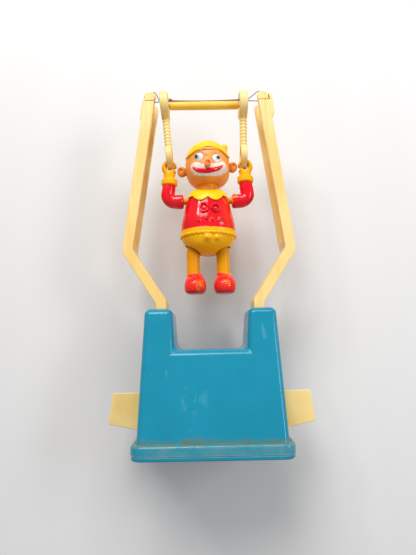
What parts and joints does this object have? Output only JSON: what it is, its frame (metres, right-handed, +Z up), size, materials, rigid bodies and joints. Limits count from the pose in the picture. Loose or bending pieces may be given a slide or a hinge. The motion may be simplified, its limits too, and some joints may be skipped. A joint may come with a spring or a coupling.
{
  "type": "trapeze clown toy",
  "caption": "Squeeze toy: pressing the buttons on a horned base spreads two levers, and the string between their tips swings a jointed clown on a trapeze.",
  "frame": {"origin": "middle of the base's underside, on the surface it stands on", "axes": "+Z up along the levers, -Y towards the clown's face, +X towards the viewer's right"},
  "size_m": [0.089, 0.051, 0.167],
  "materials": {
    "blue": "glossy moulded polystyrene, scuffed",
    "cream": "satin moulded plastic, yellowed",
    "gold": "satin moulded plastic",
    "red": "red gloss paint on yellow plastic, chipped",
    "flesh": "painted flesh colour, satin",
    "thread": "thin twisted thread",
    "steel": "bright wire"
  },
  "bodies": {
    "base": {"base_shell": "blue", "base_plate": "blue", "pivot_pin_left": "steel", "pivot_pin_right": "steel", "return_spring_left": "steel", "return_spring_right": "steel"},
    "lever_left": {"lever_left": "cream", "string_left": "thread"},
    "lever_right": {"lever_right": "cream", "string_right": "thread"},
    "trapeze": {"trapeze_bar": "gold", "hanger_left": "cream", "hanger_right": "cream", "string_front": "thread", "string_back": "thread"},
    "arm_left": {"arm_left": "red"},
    "arm_right": {"arm_right": "red"},
    "figure": {"body_front": "red", "body_back": "red", "head": "flesh", "shoulder_axle": "gold", "hip_axle": "steel"},
    "leg_left": {"leg_left": "gold"},
    "leg_right": {"leg_right": "gold"}
  },
  "joints": [
    {"name": "left_press", "type": "hinge", "parent": "base", "child": "lever_left", "pos_m": [-0.0219, 0, 0.0495], "axis": [0, -1, 0], "range_deg": [0, 4], "stiffness_Nm_per_rad": 0.12, "springref_deg": -3.44, "deforming": ["return_spring_left", "string_left"]},
    {"name": "right_press", "type": "hinge", "parent": "base", "child": "lever_right", "pos_m": [0.0219, 0, 0.0495], "axis": [0, 1, 0], "range_deg": [0, 4], "stiffness_Nm_per_rad": 0.12, "springref_deg": -3.44, "deforming": ["return_spring_right", "string_right"]},
    {"name": "trapeze_swing", "type": "hinge", "parent": "base", "child": "trapeze", "pos_m": [-0.0013, -0.003, 0.1629], "axis": [-1, 0, 0], "continuous": true},
    {"name": "left_grip", "type": "hinge", "parent": "trapeze", "child": "arm_left", "pos_m": [-0.0002, -0.003, 0.13305], "axis": [-1, 0, 0], "range_deg": [-60, 60]},
    {"name": "right_grip", "type": "hinge", "parent": "trapeze", "child": "arm_right", "pos_m": [-0.0002, -0.003, 0.13305], "axis": [-1, 0, 0], "range_deg": [-60, 60]},
    {"name": "shoulders", "type": "hinge", "parent": "arm_left", "child": "figure", "pos_m": [-0.0002, -0.003, 0.1112], "axis": [-1, 0, 0], "range_deg": [-120, 120]},
    {"name": "left_hip", "type": "hinge", "parent": "figure", "child": "leg_left", "pos_m": [-0.0071, -0.003, 0.0912], "axis": [-1, 0, 0], "range_deg": [-22, 22]},
    {"name": "right_hip", "type": "hinge", "parent": "figure", "child": "leg_right", "pos_m": [0.0067, -0.003, 0.0912], "axis": [-1, 0, 0], "range_deg": [-22, 22]}
  ],
  "couplings": [
    {"joint": "right_grip", "follows": "left_grip", "ratio": 1}
  ]
}
